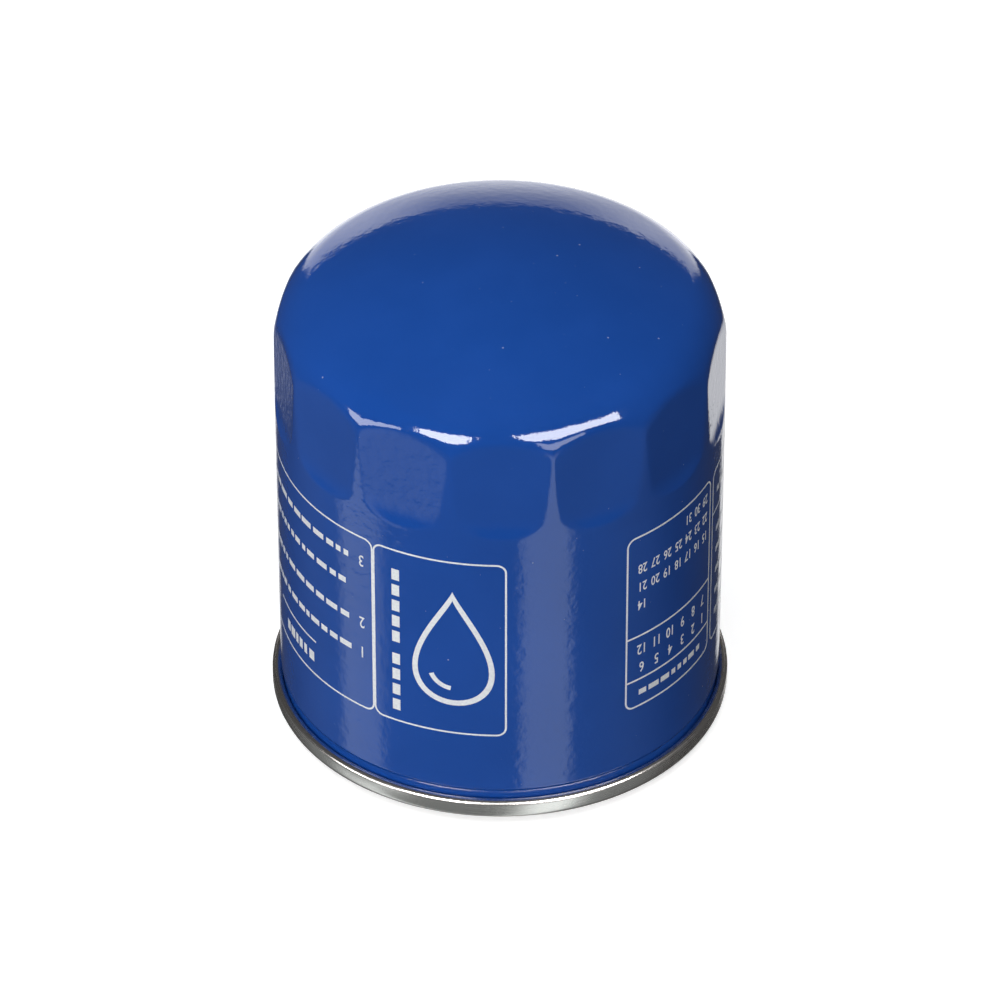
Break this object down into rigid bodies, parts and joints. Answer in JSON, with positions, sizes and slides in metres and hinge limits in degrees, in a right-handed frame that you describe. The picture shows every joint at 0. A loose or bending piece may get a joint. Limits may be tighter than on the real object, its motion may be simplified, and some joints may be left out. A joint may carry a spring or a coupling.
{
  "type": "spin-on oil filter",
  "caption": "Spin-on engine oil filter: domed steel can with wrench flats, rolled seam, base gasket, threaded plate, pleated element, bypass and anti-drain valves.",
  "frame": {"origin": "centre of the base gasket's sealing face, on the filter's axis", "axes": "+Z along the axis from the sealing face to the dome; -Y is the side the printed legends face"},
  "size_m": [0.08, 0.08, 0.0913],
  "materials": {
    "blue_enamel": "glossy stoved enamel with fine orange peel",
    "tinplate": "bright rolled tinplate",
    "plate_steel": "oiled pressed and tapped steel",
    "pressed_steel": "zinc-plated pressing",
    "valve_steel": "yellow-passivated pressing",
    "spring_steel": "drawn spring wire",
    "nitrile": "moulded nitrile rubber, matt",
    "valve_rubber": "moulded nitrile rubber, satin",
    "lining_compound": "dried seam compound",
    "adhesive": "cured plastisol",
    "filter_paper": "resin-impregnated fibrous paper"
  },
  "bodies": {
    "canister": {"can_shell": "blue_enamel", "base_plate": "plate_steel", "seam_cover": "tinplate", "seam_compound": "lining_compound", "base_gasket": "nitrile", "spring_seat": "pressed_steel", "element_spring": "spring_steel"},
    "anti_drain": {"anti_drain_valve": "valve_rubber"},
    "element": {"lower_end_cap": "pressed_steel", "lower_adhesive": "adhesive", "pleated_media": "filter_paper", "media_clip": "pressed_steel", "centre_tube": "pressed_steel", "upper_adhesive": "adhesive", "upper_end_cap": "pressed_steel", "bypass_seat": "valve_steel", "bypass_cage": "valve_steel", "bypass_spring": "spring_steel"},
    "bypass_valve": {"bypass_disc": "valve_steel", "bypass_seal": "valve_rubber", "bypass_stem": "spring_steel"}
  },
  "joints": [
    {"name": "anti_drain_lift", "type": "slide", "parent": "canister", "child": "anti_drain", "axis": [0, 0, 1], "range_m": [0, 0.0015], "stiffness_N_per_m": 300, "deforming": ["anti_drain_valve"]},
    {"name": "element_float", "type": "slide", "parent": "canister", "child": "element", "axis": [0, 0, 1], "range_m": [0, 0.0015], "stiffness_N_per_m": 6000, "deforming": ["element_spring"]},
    {"name": "bypass_lift", "type": "slide", "parent": "element", "child": "bypass_valve", "axis": [0, 0, -1], "range_m": [0, 0.003], "stiffness_N_per_m": 3200, "springref_m": -0.0001, "deforming": ["bypass_spring"]}
  ]
}
